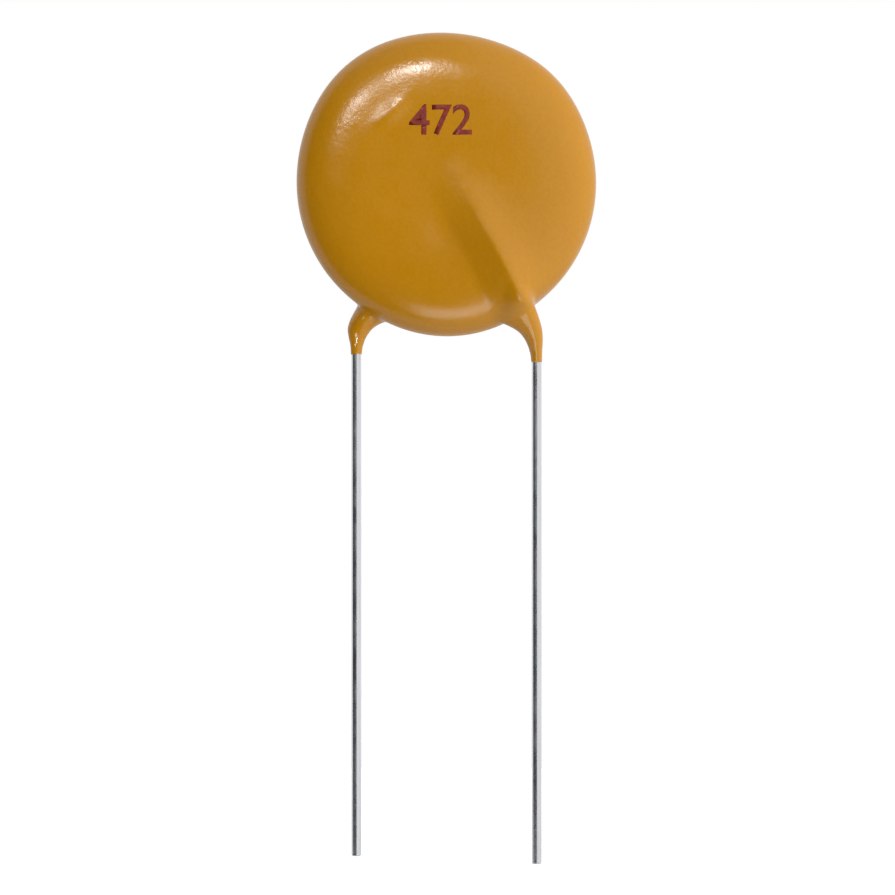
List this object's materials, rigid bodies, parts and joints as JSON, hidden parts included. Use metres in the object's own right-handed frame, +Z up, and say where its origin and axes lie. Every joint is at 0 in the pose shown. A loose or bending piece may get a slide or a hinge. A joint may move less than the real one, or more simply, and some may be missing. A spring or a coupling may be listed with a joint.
{
  "type": "ceramic disc capacitor",
  "caption": "Radial ceramic disc capacitor: an ochre epoxy-dipped disc standing on edge, with straight tinned wire leads for soldering into a circuit board.",
  "frame": {"origin": "midway between the axes of the straight legs, level with the end of the front foot of the coating", "axes": "+Z up from the legs to the disc, -Y out of the disc's front face, +X from the back leg to the front leg"},
  "size_m": [0.0166, 0.0052, 0.0462],
  "materials": {
    "ceramic": "sintered, matte",
    "silver_film": "fired silver, satin",
    "solder": "solder, satin",
    "tinned_wire": "drawn tinned copper, bright",
    "epoxy": "dipped epoxy, glossy"
  },
  "bodies": {
    "root": {"ceramic_disc": "ceramic", "front_electrode": "silver_film", "back_electrode": "silver_film", "front_solder_joint": "solder", "back_solder_joint": "solder", "front_lead": "tinned_wire", "back_lead": "tinned_wire", "epoxy_coating": "epoxy"}
  },
  "joints": []
}
